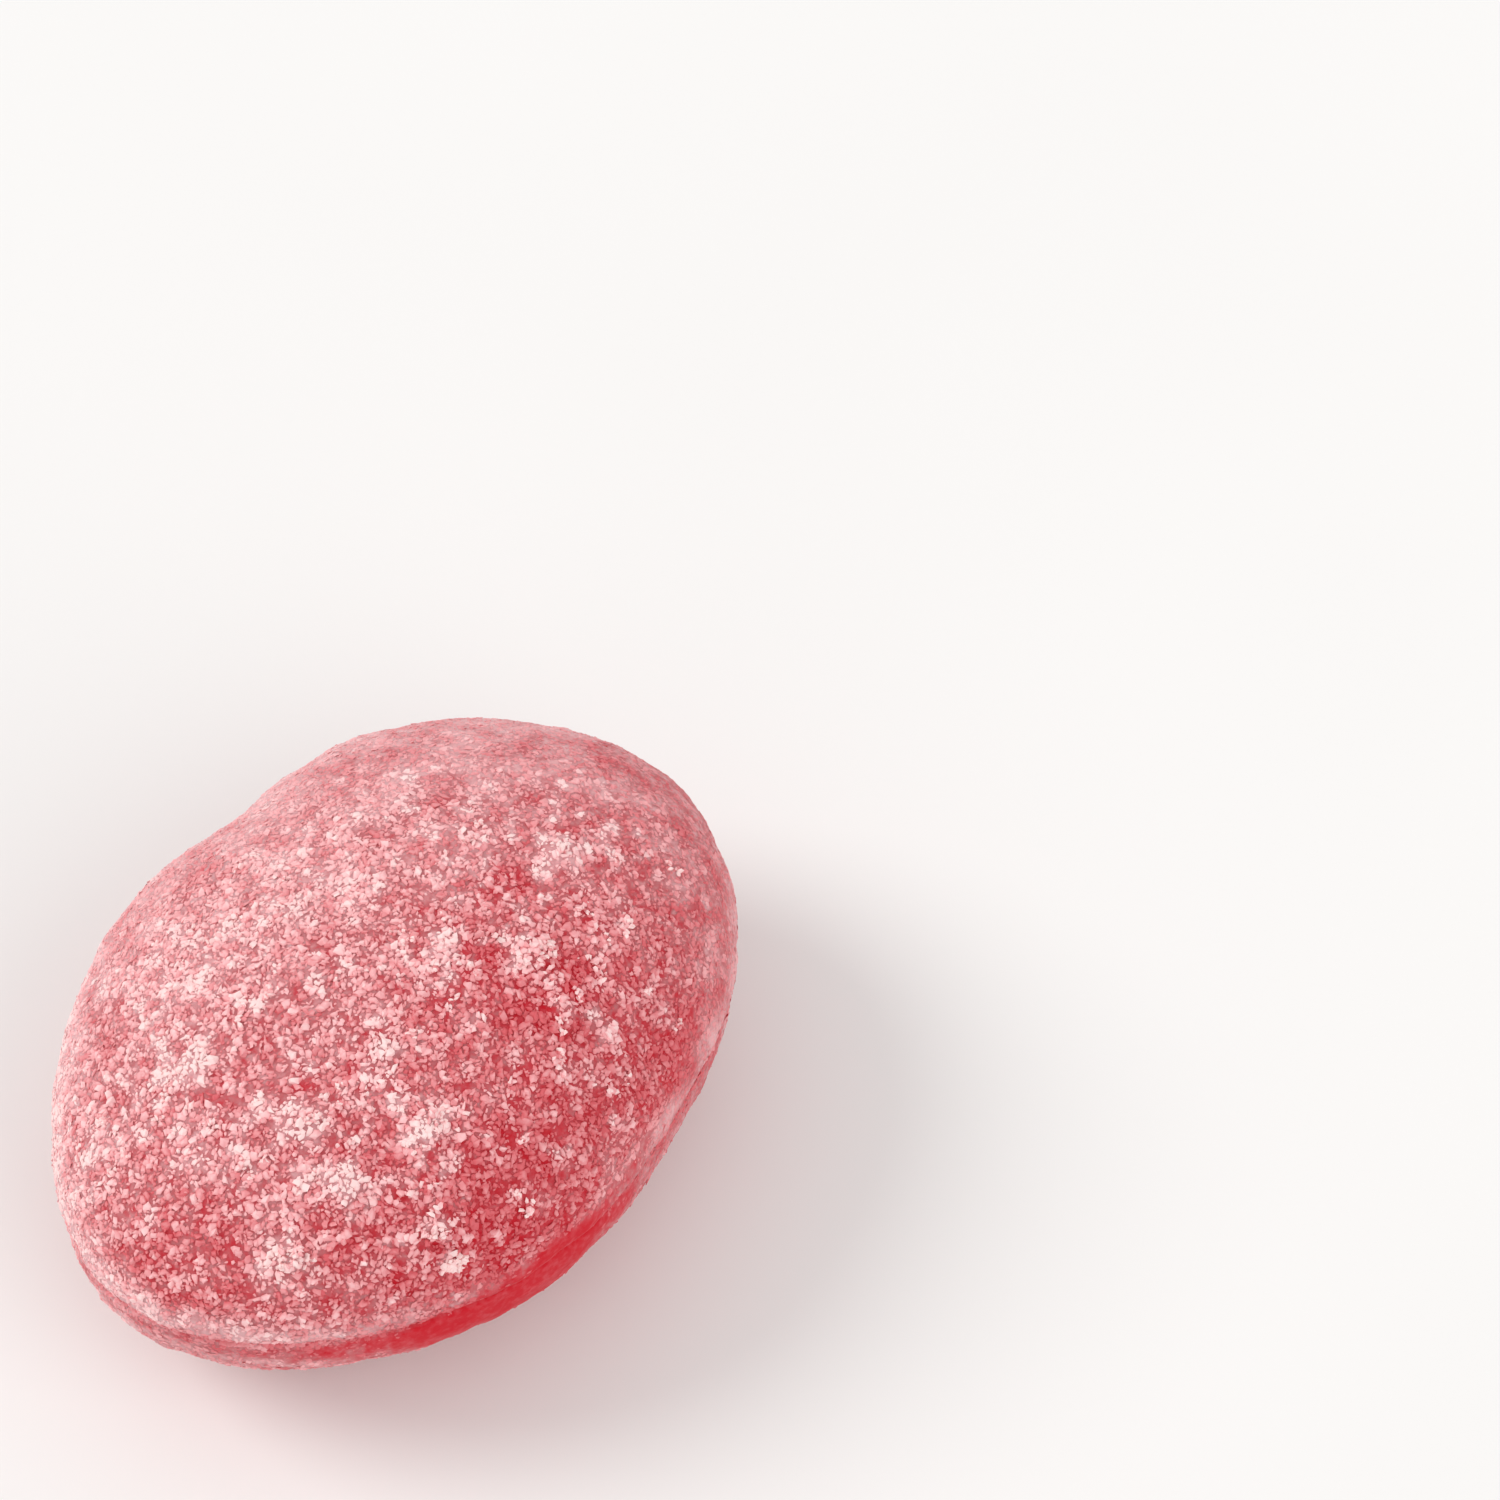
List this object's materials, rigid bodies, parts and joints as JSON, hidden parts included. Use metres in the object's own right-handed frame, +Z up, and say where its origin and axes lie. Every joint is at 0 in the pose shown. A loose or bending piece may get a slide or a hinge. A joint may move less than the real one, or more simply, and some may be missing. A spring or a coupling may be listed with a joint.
{
  "type": "hard candy drop",
  "caption": "Oval hard candy drop of boiled sugar, pressed with a seam round its side and lying on its belly, pinkish red under a crust of pale sugar grains.",
  "frame": {"origin": "middle of the drop's box, on the surface that the drop rests on", "axes": "+X along the drop's length, towards the end away from the camera in the picture; +Y across it; +Z up, from the belly to the crown"},
  "size_m": [0.025, 0.0184, 0.0116],
  "materials": {
    "sugared_candy": "translucent red boiled sugar under a fine, uneven crust of pinkish white sugar grains"
  },
  "bodies": {
    "root": {"candy_drop": "sugared_candy"}
  },
  "joints": []
}
